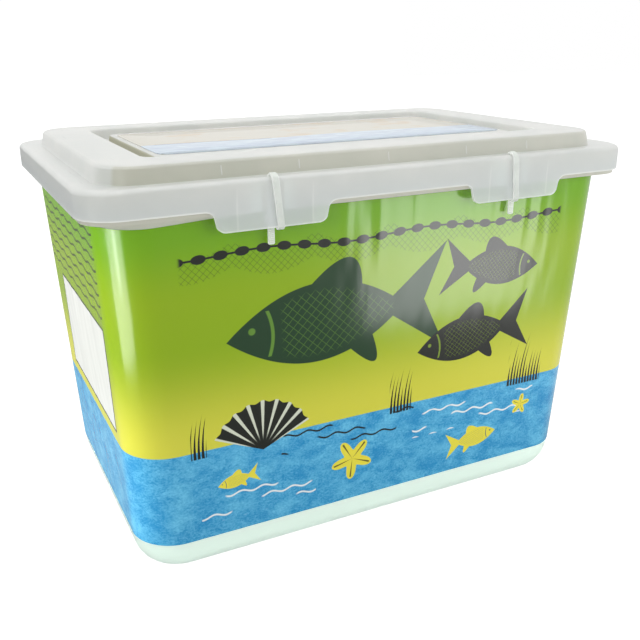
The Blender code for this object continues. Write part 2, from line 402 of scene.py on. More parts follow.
makeCamera(viewValues)
makeWorld(studioValues)
makeFloor(studioValues)
for name, settings in studioValues["lights"].items():
    softLight(name, *settings)
bpy.context.scene.view_settings.view_transform = "Standard"
print("camera, floor and lights are set")


# plastics

def buildMouldedHaze():
    # cloudy thickness, fine grain and hair scratches of moulded polypropylene
    group, given, result = newGroup(
        "mouldedHaze", {"Scale": 1.0, "Scratches": 0.3}, ("Cloud", "Scuff", "Height"))
    place = group.nodes.new("ShaderNodeTexCoord").outputs["Object"]
    cloud = noise(group, place, times(group, given["Scale"], 28.0), 3.0)
    grain = noise(group, place, 2600.0, 2.0)
    lengthwise = noise(group, stretch(group, place, (40, 900, 900), rotation=(0.2, 0.3, 0.5)), 1.0, 2.0)
    crosswise = noise(group, stretch(group, place, (900, 50, 700), rotation=(0.1, -0.4, -0.6)), 1.0, 2.0)
    lengthwise, crosswise = soften(group, lengthwise, 0.66, 0.74), soften(group, crosswise, 0.67, 0.75)
    scuff = times(group, largest(group, lengthwise, crosswise), given["Scratches"])
    height = calc(group, "ADD", times(group, grain, 0.25), times(group, cloud, 0.6))
    put(group, cloud, result["Cloud"])
    put(group, scuff, result["Scuff"])
    put(group, minus(group, height, times(group, scuff, 0.5)), result["Height"])
    return group


mouldedHaze = buildMouldedHaze()


def readLayer(tree, name):
    # a number painted on the mesh's points
    node = tree.nodes.new("ShaderNodeAttribute")
    node.attribute_name = name
    return node.outputs["Fac"]


def frostedPlastic(name, values):
    material, tree, shader = newMaterial(name)
    haze = placeGroup(tree, mouldedHaze, Scale=values["hazeScale"], Scratches=values["scratches"])
    axes = splitAxes(tree, tree.nodes.new("ShaderNodeTexCoord").outputs["Object"])
    body = blendColours(tree, soften(tree, haze["Cloud"], 0.3, 0.7), values["thin"], values["thick"])
    # below a given height the body turns to the lower colour: painted light from the pale floor on the tub,
    # a cooler, slightly darker grey on the lid's skirt and tabs
    low = soften(tree, axes["Z"], values["lowerFrom"], values["lowerTo"])
    body = blendColours(tree, low, values["lowerColour"], body)
    # painted highlight: the edge layer lightens the skirt's lower edge, the tab ribs, the wall ticks and the
    # ties' edges towards the edge colour
    body = blendColours(tree, times(tree, readLayer(tree, "edge"), 0.8), body, values["edge"])
    # painted shade: the shade layer darkens the tub's rim end under the lid's skirt, the lid panel's walls
    # and the plateau's long walls
    body = blendColours(tree, readLayer(tree, "shade"), body, values["shade"])
    put(tree, body, shader.inputs["Base Color"])
    rough = calc(tree, "MULTIPLY_ADD", haze["Cloud"], 0.10, values["roughness"] - 0.05)
    rough = calc(tree, "MULTIPLY_ADD", haze["Scuff"], 0.2, rough)
    put(tree, rough, shader.inputs["Roughness"])
    put(tree, bumpNormal(tree, haze["Height"], 0.25, 0.0002), shader.inputs["Normal"])
    shader.inputs["IOR"].default_value = 1.49
    shader.inputs["Transmission Weight"].default_value = values["clearness"]
    # painted glow: each plastic gives off light of its own colour, standing in for light scattered inside it
    put(tree, body, shader.inputs["Emission Color"])
    shader.inputs["Emission Strength"].default_value = values["glow"]
    return material


tubPlasticValues = {
    "thin": colour(226, 238, 230),
    "thick": colour(232, 240, 234),
    # colour of the painted edge highlight
    "edge": colour(250, 252, 250),
    # colour of the painted shadow under the lid's skirt
    "shade": colour(200, 200, 190),
    # painted light from the pale floor: brightest at the foot, gone 60 mm up
    "lowerColour": colour(238, 250, 243),
    "lowerFrom": 0.0,
    "lowerTo": 60 * mm,
    "hazeScale": 1.0,
    "scratches": 0.25,
    "roughness": 0.30,
    "clearness": 0.62,
    "glow": 0.19,
}
lidPlasticValues = {
    "thin": colour(210, 212, 209),
    "thick": colour(220, 220, 217),
    # colour of the painted edge highlight
    "edge": colour(252, 252, 250),
    # colour of the painted shade on the panel's walls and the plateau's long walls
    "shade": colour(170, 168, 142),
    # a cooler, slightly darker grey on the skirt and tabs, below 190 mm
    "lowerColour": colour(211, 215, 215),
    "lowerFrom": 190 * mm,
    "lowerTo": 212 * mm,
    "hazeScale": 1.4,
    "scratches": 0.4,
    "roughness": 0.30,
    "clearness": 0.62,
    "glow": 0.145,
}
tubPlastic = frostedPlastic("tub polypropylene", tubPlasticValues)
lidPlastic = frostedPlastic("lid polypropylene", lidPlasticValues)
print("plastics are mixed")


# prints

def distance(tree, right, up):
    return calc(tree, "SQRT", calc(tree, "MULTIPLY_ADD", right, right, times(tree, up, up)))


def wave(tree, value, turns, size):
    return times(tree, calc(tree, "SINE", times(tree, value, turns)), size)


def lattice(tree, across, up, turns, thin, thick):
    # two sets of slanting lines that cross
    slants = []
    for operation in ("ADD", "SUBTRACT"):
        slants.append(calc(tree, "ABSOLUTE", wave(tree, calc(tree, operation, across, up), turns, 1.0)))
    return soften(tree, calc(tree, "MINIMUM", *slants), thick, thin)


def nearLine(tree, value, width, blur=0.12 * mm):
    # 1 within width of zero
    return soften(tree, calc(tree, "ABSOLUTE", value), width + blur, width - blur)


def between(tree, value, low, high, blur=0.3 * mm):
    rising = soften(tree, value, low - blur, low + blur)
    falling = soften(tree, value, high - blur, high + blur)
    return minus(tree, rising, falling)


def rectangle(tree, along, height, area):
    # area is left, right, low and high
    return times(tree, between(tree, along, *area[:2]), between(tree, height, *area[2:]))


fishShape = {
    # in shares of the fish's length, from its middle
    "trunk": (-0.09, 0.41, 0.175),      # middle, half length, half height
    "tail": (0.75, -0.15),      # half height at x is 0.75 x - 0.15
    "tailFork": (0.45, 0.42),      # the tail ends at x = 0.45 times the height + 0.42
    "backFin": (-0.10, 0.20, 0.26, 0.55),      # middle, half length, height, sweep
    "bellyFin": (0.02, 0.10, 0.24, -0.6),
    "gill": (-0.30, 0.10),      # place, half height
    "eye": (-0.39, 0.025),
    "scaleTurns": 75.0,
    "blur": 0.22 * mm,      # of the outline, on the label itself
}


def buildFish(values):
    # a plain fish outline with fins, a gill line, an eye and scales, nose towards -Along when Facing is 1
    group, given, result = newGroup(
        "fishOutline",
        {"Along": 0.0, "Height": 0.0, "Middle": 0.0, "Level": 0.0,
         "Length": 0.1, "Tilt": 0.0, "Facing": 1.0},
        ("Body", "Lines"),
    )
    right = minus(group, given["Along"], given["Middle"])
    up = minus(group, given["Height"], given["Level"])
    cosine, sine = calc(group, "COSINE", given["Tilt"]), calc(group, "SINE", given["Tilt"])
    x = calc(group, "MULTIPLY_ADD", right, cosine, times(group, up, sine))
    y = minus(group, times(group, up, cosine), times(group, right, sine))
    x = calc(group, "DIVIDE", times(group, x, given["Facing"]), given["Length"])
    y = calc(group, "DIVIDE", y, given["Length"])
    away = calc(group, "ABSOLUTE", y)

    def bulge(centre, width, height, lean=0.0):
        # height of a parabola over x, swept back by lean
        swept = calc(group, "MULTIPLY_ADD", y, -lean, minus(group, x, centre))
        share = calc(group, "DIVIDE", swept, width)
        return calc(group, "MULTIPLY_ADD", times(group, share, share), -height, height)

    trunk = minus(group, bulge(*values["trunk"]), away)
    tailWide = minus(group, calc(group, "MULTIPLY_ADD", x, *values["tail"]), away)
    tailEnd = minus(group, calc(group, "MULTIPLY_ADD", away, *values["tailFork"]), x)
    tail = calc(group, "MINIMUM", tailWide, tailEnd)
    backFin = calc(group, "MINIMUM", minus(group, bulge(*values["backFin"]), y), y)
    down = times(group, y, -1.0)
    bellyFin = calc(group, "MINIMUM", minus(group, bulge(*values["bellyFin"]), down), down)
    inside = largest(group, trunk, tail, backFin, bellyFin)
    blur = calc(group, "DIVIDE", values["blur"], given["Length"])
    put(group, soften(group, inside, times(group, blur, -1.0), blur), result["Body"])

    gillPlace, gillHeight = values["gill"]
    gillGap = minus(group, x, gillPlace)
    gillGap = calc(group, "MULTIPLY_ADD", times(group, y, y), 2.0, gillGap)
    gill = soften(group, calc(group, "ABSOLUTE", gillGap), 0.010, 0.005)
    gill = times(group, gill, calc(group, "LESS_THAN", away, gillHeight))
    eyeX, eyeY = (minus(group, side, place) for side, place in zip((x, y), values["eye"]))
    eye = soften(group, distance(group, eyeX, eyeY), 0.018, 0.012)
    scales = lattice(group, x, y, values["scaleTurns"], 0.05, 0.22)
    flank = times(group, soften(group, trunk, 0.02, 0.05), soften(group, x, -0.27, -0.24))
    scales = times(group, scales, flank, 0.55)
    put(group, largest(group, gill, eye, scales), result["Lines"])
    return group


def buildStar():
    # a five-armed starfish with a ridge along each arm
    group, given, result = newGroup(
        "seaStar",
        {"Along": 0.0, "Height": 0.0, "Middle": 0.0, "Level": 0.0, "Size": 0.01, "Turn": 0.0},
        ("Body", "Lines"),
    )
    right = minus(group, given["Along"], given["Middle"])
    up = minus(group, given["Height"], given["Level"])
    angle = calc(group, "ADD", calc(group, "ARCTAN2", up, right), given["Turn"])
    arms = calc(group, "COSINE", times(group, angle, 5.0))
    reach = times(group, given["Size"], calc(group, "MULTIPLY_ADD", arms, 0.28, 0.70))
    inside = minus(group, reach, distance(group, right, up))
    put(group, soften(group, inside, -0.2 * mm, 0.2 * mm), result["Body"])
    clear = soften(group, inside, 1 * mm, 1.5 * mm)
    put(group, times(group, soften(group, arms, 0.955, 0.985), clear), result["Lines"])
    return group


fishOutline = buildFish(fishShape)
seaStar = buildStar()


wrapPrintValues = {
    "bandTop": 73 * mm,
    "greenFade": (150 * mm, 186 * mm),
    "yellowFade": (130 * mm, 74 * mm),
    "topGreen": colour(110, 166, 2),
    "middleGreen": colour(141, 174, 2),
    "lowYellow": colour(215, 213, 68),
    "water": colour(31, 143, 201),
    "foam": colour(112, 203, 240),
    "ink": colour(22, 26, 18),
    "inkLines": colour(120, 146, 40),
    "fishGreen": colour(24, 60, 30),
    "greenLines": colour(96, 140, 48),
    "yellow": colour(238, 226, 70),
    "yellowLines": colour(60, 110, 120),
    "starLines": colour(110, 100, 40),
    "shellPale": colour(214, 220, 200),
    "panelPale": colour(232, 234, 228),
    "white": colour(240, 244, 244),
    # lengths run along the front from its middle, and up from the floor
    "frontHalf": 109 * mm,
    "ropeLevel": 171.5 * mm,
    "floatPitch": 10.5 * mm,
    "floatHalf": (3.6 * mm, 2.2 * mm),
    "netFoot": 165.5 * mm,
    "netDepth": 11.5 * mm,
    "shellFoot": (-70 * mm, 66 * mm),
    "shellReach": 27.5 * mm,
    "shellOpen": 1.15,
    "reedPitch": 2.1 * mm,
    "reedTall": (20 * mm, 8 * mm),      # the shortest is 8 mm, and the others up to 20 mm more
    "reedClumps": ((84 * mm, 108 * mm), (-108 * mm, -100 * mm), (4 * mm, 18 * mm)),
    "ripplePitch": 5.2 * mm,
    # left, right, low, high
    "whiteRipples": ((20 * mm, 104 * mm, 50 * mm, 66 * mm), (-104 * mm, -40 * mm, 30 * mm, 45.5 * mm)),
    "darkRipples": ((-60 * mm, 20 * mm, 58.5 * mm, 73 * mm),),
    "rulePitch": 5.8 * mm,
    "ruledArea": (-285 * mm, -152 * mm, 141 * mm, 184 * mm),
    "panelEdge": (-262 * mm, -153.5 * mm, 79 * mm, 136 * mm),
    "panelFace": (-260.7 * mm, -155 * mm, 80.2 * mm, 134.8 * mm),
    # middle, level, length, tilt, facing, colour, colour of the lines
    "fish": (
        (-28 * mm, 131 * mm, 120 * mm, 0.05, 1.0, "fishGreen", "greenLines"),
        (66 * mm, 146 * mm, 62 * mm, -0.10, -1.0, "ink", "inkLines"),
        (56 * mm, 107 * mm, 72 * mm, 0.12, 1.0, "ink", "inkLines"),
        (62 * mm, 40 * mm, 34 * mm, 0.1, -1.0, "yellow", "yellowLines"),
        (-84 * mm, 52 * mm, 22 * mm, 0.15, 1.0, "yellow", "yellowLines"),
    ),
    # middle, level, size, turn
    "stars": ((-18 * mm, 47 * mm, 13 * mm, 0.4), (96 * mm, 55 * mm, 7 * mm, 1.1)),
}


def onFront(tree, along, values):
    return nearLine(tree, along, values["frontHalf"], 1 * mm)


def paintGround(tree, place, height, values):
    # green running down to yellow, over a mottled water band
    fade = soften(tree, height, *values["greenFade"])
    ground = blendColours(tree, fade, values["middleGreen"], values["topGreen"])
    ground = blendColours(tree, soften(tree, height, *values["yellowFade"]), ground, values["lowYellow"])
    broad = noise(tree, stretch(tree, place, (75, 120, 1)), 1.0, 5.0, 0.65, 0.4)
    fine = noise(tree, stretch(tree, place, (750, 950, 1)), 1.0, 3.0, 0.7)
    mottle = calc(tree, "MULTIPLY_ADD", fine, 0.45, times(tree, broad, 0.6))
    water = blendColours(tree, soften(tree, mottle, 0.38, 0.72), values["water"], values["foam"])
    inBand = soften(tree, height, values["bandTop"] + 0.2 * mm, values["bandTop"] - 0.2 * mm)
    return blendColours(tree, inBand, ground, water)


def paintFloatLine(tree, along, height, under, values):
    # a sagging rope strung with floats, over a strip of netting with a scalloped foot
    level = minus(tree, height, values["ropeLevel"])
    ropeGap = minus(tree, level, wave(tree, along, 70.0, 1.2 * mm))
    rope = nearLine(tree, ropeGap, 0.5 * mm)
    pitch = values["floatPitch"]
    halfLong, halfHigh = values["floatHalf"]
    share = minus(tree, calc(tree, "FRACT", calc(tree, "DIVIDE", along, pitch)), 0.5)
    x, y = times(tree, share, pitch / halfLong), calc(tree, "DIVIDE", ropeGap, halfHigh)
    floats = soften(tree, calc(tree, "MULTIPLY_ADD", x, x, times(tree, y, y)), 1.15, 0.85)
    scallop = calc(tree, "ABSOLUTE", wave(tree, along, 75.0, 6 * mm))
    netGap = calc(tree, "ADD", minus(tree, height, values["netFoot"]), scallop)
    mesh = lattice(tree, along, height, 900.0, 0.08, 0.20)
    net = times(tree, mesh, between(tree, netGap, 0.0, values["netDepth"]), 0.6)
    mask = times(tree, largest(tree, rope, floats, net), onFront(tree, along, values))
    return blendColours(tree, mask, under, values["ink"])


def paintShell(tree, along, height, under, values):
    # a shell fan, half over the water band
    right = minus(tree, along, values["shellFoot"][0])
    up = minus(tree, height, values["shellFoot"][1])
    gap, turn = distance(tree, right, up), calc(tree, "ARCTAN2", right, up)
    ribs = calc(tree, "COSINE", times(tree, turn, 22.0))
    edge = calc(tree, "MULTIPLY_ADD", ribs, 0.6 * mm, values["shellReach"])
    fan = soften(tree, minus(tree, gap, edge), 0.2 * mm, -0.2 * mm)
    opened = calc(tree, "LESS_THAN", calc(tree, "ABSOLUTE", turn), values["shellOpen"])
    fan = times(tree, fan, opened)
    lines = times(tree, soften(tree, ribs, 0.55, 0.80), soften(tree, gap, 5 * mm, 12 * mm))
    return blendColours(tree, fan, under, blendColours(tree, lines, values["ink"], values["shellPale"]))


def paintReeds(tree, along, height, under, values):
    # clumps of leaning blades, each with its own height, on the water band's upper edge
    rise = minus(tree, height, values["bandTop"])
    bend = times(tree, rise, rise, 6.0)
    place = calc(tree, "DIVIDE", minus(tree, along, bend), values["reedPitch"])
    scatter = calc(tree, "FRACT", wave(tree, calc(tree, "FLOOR", place), 12.99, 437.0))
    share = calc(tree, "DIVIDE", rise, calc(tree, "MULTIPLY_ADD", scatter, *values["reedTall"]))
    halfWidth = calc(tree, "MULTIPLY_ADD", share, -0.30, 0.30)
    gap = calc(tree, "ABSOLUTE", minus(tree, calc(tree, "FRACT", place), 0.5))
    blade = soften(tree, minus(tree, halfWidth, gap), -0.05, 0.05)
    clumps = largest(tree, *[between(tree, along, *ends) for ends in values["reedClumps"]])
    mask = times(tree, blade, between(tree, rise, -4 * mm, 40 * mm), clumps)
    return blendColours(tree, mask, under, values["ink"])


def paintRipples(tree, along, height, under, values):
    # rows of broken wavy lines on the water band
    place = calc(tree, "DIVIDE", height, values["ripplePitch"])
    row = calc(tree, "FLOOR", place)
    curve = calc(tree, "SINE", calc(tree, "MULTIPLY_ADD", along, 520.0, times(tree, row, 2.4)))
    gap = minus(tree, calc(tree, "FRACT", place), 0.5)
    lines = nearLine(tree, calc(tree, "MULTIPLY_ADD", curve, -0.16, gap), 0.10, 0.04)
    dashes = calc(tree, "SINE", calc(tree, "MULTIPLY_ADD", along, 96.0, times(tree, row, 1.9)))
    ripples = times(tree, lines, soften(tree, dashes, 0.1, 0.3), onFront(tree, along, values))
    for areas, paint in (("whiteRipples", "white"), ("darkRipples", "ink")):
        inside = largest(tree, *[rectangle(tree, along, height, area) for area in values[areas]])
        under = blendColours(tree, times(tree, ripples, inside), under, values[paint])
    return under


def paintAnimals(tree, along, height, under, values):
    for middle, level, length, tilt, facing, paint, lines in values["fish"]:
        fish = placeGroup(tree, fishOutline, Along=along, Height=height, Middle=middle, Level=level,
                          Length=length, Tilt=tilt, Facing=facing)
        under = blendColours(tree, fish["Body"], under,
                             blendColours(tree, fish["Lines"], values[paint], values[lines]))
    for middle, level, size, turn in values["stars"]:
        star = placeGroup(tree, seaStar, Along=along, Height=height, Middle=middle, Level=level,
                          Size=size, Turn=turn)
        under = blendColours(tree, star["Body"], under,
                             blendColours(tree, star["Lines"], values["yellow"], values["starLines"]))
    return under


def paintLeftEnd(tree, along, height, under, values):
    # ruled waves above, an outlined blank panel below
    gap = minus(tree, calc(tree, "FRACT", calc(tree, "DIVIDE", height, values["rulePitch"])), 0.5)
    rules = nearLine(tree, minus(tree, gap, wave(tree, along, 330.0, 0.12)), 0.10, 0.05)
    rules = times(tree, rules, rectangle(tree, along, height, values["ruledArea"]), 0.85)
    under = blendColours(tree, rules, under, values["ink"])
    for area, paint in (("panelEdge", "ink"), ("panelFace", "panelPale")):
        under = blendColours(tree, rectangle(tree, along, height, values[area]), under, values[paint])
    return under


def makeWrapPrint(values):
    material, tree, shader = newMaterial("wrap label print")
    uv = tree.nodes.new("ShaderNodeUVMap")
    uv.uv_map = "print"
    place = uv.outputs[0]
    axes = splitAxes(tree, place)
    paint = paintGround(tree, place, axes["Y"], values)
    for motif in (paintFloatLine, paintShell, paintReeds, paintRipples, paintAnimals, paintLeftEnd):
        paint = motif(tree, axes["X"], axes["Y"], paint, values)
    put(tree, paint, shader.inputs["Base Color"])
    # gloss film: faint handling haze and a soft ripple
    haze = noise(tree, stretch(tree, place, (60, 20, 1)), 1.0, 3.0)
    put(tree, calc(tree, "MULTIPLY_ADD", haze, 0.12, 0.10), shader.inputs["Roughness"])
    ripple = noise(tree, stretch(tree, place, (70, 14, 1)), 1.0, 2.0)
    put(tree, bumpNormal(tree, ripple, 0.35, 0.0006), shader.inputs["Normal"])
    shader.inputs["IOR"].default_value = 1.6      # ink under a clear gloss film
    return material


lidPrintValues = {
    "pale": colour(194, 190, 176),
    "warm": colour(196, 180, 156),
    "band": colour(176, 188, 206),
    "bandPale": colour(196, 214, 222),
    "line": colour(70, 80, 84),
    "border": colour(88, 96, 72),
    "bandTop": -12 * mm,
    "bandLine": (-94 * mm, -30 * mm),
    "borders": ((-44 * mm, 0.5 * mm), (-41.5 * mm, 0.3 * mm)),      # place, half width
}


def makeLidPrint(values):
    material, tree, shader = newMaterial("lid label print")
    place = tree.nodes.new("ShaderNodeTexCoord").outputs["Object"]
    axes = splitAxes(tree, place)
    patches = noise(tree, place, 38.0, 3.0)
    ground = blendColours(tree, soften(tree, patches, 0.52, 0.66), values["pale"], values["warm"])
    level = minus(tree, axes["Y"], values["bandTop"])
    level = minus(tree, level, wave(tree, axes["X"], 55.0, 1.6 * mm))
    streaks = noise(tree, stretch(tree, place, (80, 400, 1)), 1.0, 4.0)
    band = blendColours(tree, soften(tree, streaks, 0.4, 0.7), values["band"], values["bandPale"])
    ground = blendColours(tree, soften(tree, level, 0.3 * mm, -0.3 * mm), ground, band)
    line = nearLine(tree, level, 0.4 * mm)
    line = times(tree, line, between(tree, axes["X"], *values["bandLine"]))
    ground = blendColours(tree, line, ground, values["line"])
    borders = [nearLine(tree, minus(tree, axes["Y"], at), half) for at, half in values["borders"]]
    border = times(tree, largest(tree, *borders), 0.7)
    ground = blendColours(tree, border, ground, values["border"])
    put(tree, ground, shader.inputs["Base Color"])
    put(tree, calc(tree, "MULTIPLY_ADD", patches, 0.10, 0.18), shader.inputs["Roughness"])
    put(tree, bumpNormal(tree, patches, 0.2, 0.0003), shader.inputs["Normal"])
    shader.inputs["IOR"].default_value = 1.5
    return material


tieNylonValues = {
    "thin": colour(216, 220, 215),
    "thick": colour(226, 230, 225),
    # colour of the painted edge highlight
    "edge": colour(255, 255, 255),
    "shade": colour(220, 224, 216),
    "lowerColour": colour(230, 234, 230),
    "lowerFrom": 0.0,
    "lowerTo": 1 * mm,
    "hazeScale": 6.0,
    "scratches": 0.2,
    "roughness": 0.34,
    "clearness": 0.55,
    "glow": 0.11,
}
wrapPrint = makeWrapPrint(wrapPrintValues)
lidPrint = makeLidPrint(lidPrintValues)
tieNylon = frostedPlastic("tie nylon", tieNylonValues)
print("prints are drawn")


# tub

tubValues = {
    "wall": 1.6 * mm,
    "draft": 0.0445,
    "corner": 23 * mm,
    "baseRound": 20 * mm,
    "lipDepth": 12.6 * mm,
    "lipCorner": 14.5 * mm,
    "rimRound": 0.9 * mm,
    "floorReach": 10 * mm,      # from the end of the base round in to the floor's flat middle
    "softEdge": 0.3 * mm,
    "shadeFrom": 0.7,      # painted shadow of the lid's skirt: the rim end of the walls is darker, from this share of the height up
    "notchWidth": 12 * mm,
    "notchInnerY": 92.55 * mm,
    "counts": (10, 6, 16),
}
tieValues = {
    "tie_left": {"top": -64.8 * mm, "bottom": -62.6 * mm, "tail": -65.6 * mm},
    "tie_right": {"top": 68.4 * mm, "bottom": 69.9 * mm, "tail": 71.2 * mm},
}
sleeveGap = 0.7 * mm      # from the wall out to the wrap label node's outer face


def tubHalf(z, offset=0.0):
    inward = sleeveGap + tubValues["draft"] * (wrapHigh.z - z) - offset
    return (wrapHigh.x - inward, wrapHigh.y - inward)


def boxCutter(name, low, high):
    bm = bmesh.new()
    bmesh.ops.create_cube(bm, size=1.0)
    size = [b - a for a, b in zip(low, high)]
    middle = [(a + b) / 2 for a, b in zip(low, high)]
    bmesh.ops.scale(bm, vec=size, verts=bm.verts)
    bmesh.ops.translate(bm, vec=middle, verts=bm.verts)
    return meshPiece(name, bm)


def cutAway(piece, cutter):
    cut = piece.modifiers.new("cut", "BOOLEAN")
    cut.operation = "DIFFERENCE"
    cut.solver = "EXACT"
    cut.object = cutter
    applyModifiers(piece)
    bpy.data.objects.remove(cutter, do_unlink=True)


def settle(piece, body, node, material):
    piece.data.materials.clear()
    piece.data.materials.append(material)
    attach(piece, body)
    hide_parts(node)


def tubSections(values):
    under = tubHigh.z - values["wall"]
    lip = (tubHigh.x - values["wall"], tubHigh.y - values["wall"])
    base = tubHalf(0)
    flatBase = inset(base, values["baseRound"] + values["floorReach"])
    corner = values["corner"]
    small = values["rimRound"]
    ends = [(flatBase, 1 * mm, 0, 0), (base, corner, 0, values["baseRound"])]
    ends += [(tubHalf(under), corner, under, small), (lip, values["lipCorner"], under, small)]
    ends.append((lip, values["lipCorner"], tubHigh.z - values["lipDepth"], 0))
    return roundSections(ends, 8)


def makeTub(values):
    bm = bmesh.new()
    shade = bm.verts.layers.float.new("shade")
    rings = [liftRing(section, values["counts"]) for section in tubSections(values)]
    loops = skinRings(bm, rings, capFirst=True)
    # painted shadow of the lid's skirt on the upper walls
    for loop in loops:
        for vertex in loop:
            vertex[shade] = 1.0 if vertex.co.z > values["shadeFrom"] * tubHigh.z else 0.0
    tub = meshPiece("tub_shell", bm)
    thicken(tub, values["wall"])
    applyModifiers(tub)
    reach = 5 * mm
    for places in tieValues.values():
        middle = 0.5 * (places["top"] + places["tail"])
        low = (middle - values["notchWidth"] / 2, -tubHigh.y - reach, tubHigh.z - values["lipDepth"] - reach)
        high = (middle + values["notchWidth"] / 2, -values["notchInnerY"], tubHigh.z + reach)
        cutAway(tub, boxCutter("notch", low, high))
    softenEdges(tub, values["softEdge"])
    applyModifiers(tub)
    settle(tub, "tub_body", "tub", tubPlastic)


makeTub(tubValues)
print("tub is moulded")


# wrap label: a printed sleeve round the walls

wrapValues = {
    "film": 0.2 * mm,
    "standOff": 0.08 * mm,
    "wrinkle": 0.20 * mm,
    "creases": [place * mm for place in (-25, -6, 15, 47, 60, 83, 94)],
    "creaseWidth": 2.4 * mm,
    "creaseFrom": 150 * mm,      # height where the creases start, and how far they take to deepen
    "creaseRise": 30 * mm,
    "core": (110 * mm, 60 * mm),      # the film's waves run outwards from this inner rectangle
    "dip": 2.4 * mm,      # how far the film's top edge sinks at the front's left corner
    "dipAt": (-128 * mm, -90 * mm),
    "dipReach": 34 * mm,
    "rows": 66,
    "counts": (128, 50, 14),
}


def wrapWave(around, z, values):
    # shallow wrinkles of a film that isn't quite taut, in shares of the wrinkle's depth
    long = math.sin(around * 210 + 1.6 * math.sin(z * 38)) * (0.55 + 0.45 * math.sin(around * 37 + z * 12))
    short = math.sin(around * 520 + 2.2 * math.sin(z * 61 + 1.0)) * math.sin(around * 47 - z * 26 + 0.7)
    crease = sum(math.exp(-((around - place) / values["creaseWidth"]) ** 2) for place in values["creases"])
    deep = max(0, min(1, (z - values["creaseFrom"]) / values["creaseRise"]))
    return 0.42 + 0.24 * long + 0.16 * short + 1.5 * crease * deep


def wrapDrop(x, y, share, values):
    # how far a point of the film has sunk, share being its place between the film's two edges
    gap = math.dist((x, y), values["dipAt"]) / values["dipReach"]
    return values["dip"] * math.exp(-gap ** 2) * share ** 4


def makeWrap(values):
    bm = bmesh.new()
    rings = []
    distances = []
    for row in range(values["rows"] + 1):
        level = wrapLow.z + (wrapHigh.z - wrapLow.z) * row / values["rows"]
        ring = liftRing((tubHalf(level, values["standOff"]), tubValues["corner"], level), values["counts"])
        walked = [0.0]
        for first, second in zip(ring, ring[1:] + ring[:1]):
            walked.append(walked[-1] + math.dist(first, second))
        middle = walked[values["counts"][0] // 2]
        distances.append([walk - middle for walk in walked])
        moved = []
        for (x, y, z), walk in zip(ring, distances[-1]):
            centre = [max(-limit, min(limit, side)) for side, limit in zip((x, y), values["core"])]
            away = Vector((x - centre[0], y - centre[1], 0))
            away.normalize()
            drop = wrapDrop(x, y, row / values["rows"], values)
            # the wall leans in below, so film that sinks also moves inwards
            proud = values["wrinkle"] * wrapWave(walk, z, values) - drop * tubValues["draft"]
            moved.append((x + away.x * proud, y + away.y * proud, z - drop))
        rings.append(moved)
    loops = skinRings(bm, rings)
    places = {}
    for row, loop in enumerate(loops):
        for index, vertex in enumerate(loop):
            places[vertex] = (row, index)
    layer = bm.loops.layers.uv.new("print")
    count = len(loops[0])
    seam = values["counts"][0] * 3 // 2 + values["counts"][1] + 2 * values["counts"][2]
    for face in bm.faces:
        indices = [places[corner.vert][1] for corner in face.loops]
        closing = max(indices) - min(indices) > 1
        pastSeam = closing or min(indices) >= seam
        for corner in face.loops:
            row, index = places[corner.vert]
            index = count if closing and index == 0 else index
            around = distances[row][index] - (distances[row][count] - distances[row][0] if pastSeam else 0)
            corner[layer].uv = (around, corner.vert.co.z)
    wrap = meshPiece("wrap_film", bm, 60)
    thicken(wrap, values["film"], 1.0)
    applyModifiers(wrap, 60)
    settle(wrap, "tub_body", "wrap_label", wrapPrint)
    return wrap


lightLabel(makeWrap(wrapValues), studioValues)
print("wrap label is on")


# lid

lidValues = {
    "wall": 1.6 * mm,
    "skirtCorner": 18 * mm,
    "skirtBottom": 193 * mm,
    "skirtTop": 206.2 * mm,
    "skirtRound": 2.6 * mm,
    "skirtRows": (0.9 * mm, 1.4 * mm),      # rows of points above the skirt's lower edge
    "footHalf": (139 * mm, 87 * mm),
    "footZ": 205.2 * mm,
    "plateauHalf": (137.2 * mm, 85.2 * mm),
    "plateauCorner": 16.5 * mm,
    "plateauRound": 2.2 * mm,
    "grooveHalf": (113 * mm, 63.5 * mm),
    "grooveCorner": 8 * mm,
    "grooveFloor": 207.6 * mm,
    "grooveLean": 1.2 * mm,
    "panelHalf": (104 * mm, 53 * mm),
    "panelCorner": 5 * mm,
    "panelTop": 211.4 * mm,
    "panelLean": 0.8 * mm,
    "panelMiddle": 20 * mm,      # from the panel's edge to its flat middle
    "softEdge": 0.3 * mm,
    "outerBend": 1.65 * mm,
    "innerBend": 0.6 * mm,
    "tabCentres": (-65.7 * mm, 70.7 * mm),
    "tabTop": 64.5 * mm,
    "tabFoot": 54.6 * mm,
    "tabFlare": 5 * mm,
    "tabCorner": 4.5 * mm,
    "slotSize": (6.4 * mm, 2.6 * mm),
    "slotReach": 4 * mm,      # of the cutter, above and below the shelf
    "strapY": -94.65 * mm,
    "ribs": (-17.4 * mm, 19.4 * mm),      # from a tab's middle
    "ribWidth": 0.7 * mm,
    "ribHeight": 0.18 * mm,
    # strength of the painted highlight on the ribs
    "ribLight": 0.4,
    "ticks": (-85 * mm, -47 * mm, 1 * mm, 47 * mm, 86 * mm),
    # across the wall and out of it
    "tickSection": (
        (-0.5 * mm, -0.4 * mm), (-0.2 * mm, 0.15 * mm), (0.2 * mm, 0.15 * mm), (0.5 * mm, -0.4 * mm)),
    "tickEnds": (1.5 * mm, 2.6 * mm),      # from the plateau's foot and its top
    # strength of the painted highlight on the ticks
    "tickLight": 0.25,
    "wallShade": 0.38,      # painted shade on the plateau's long walls, at their middle
    "wallShadeRight": -0.6,      # added for each metre to the right, so the painted shade is lighter towards the right
    "cornerSteps": 14,
}


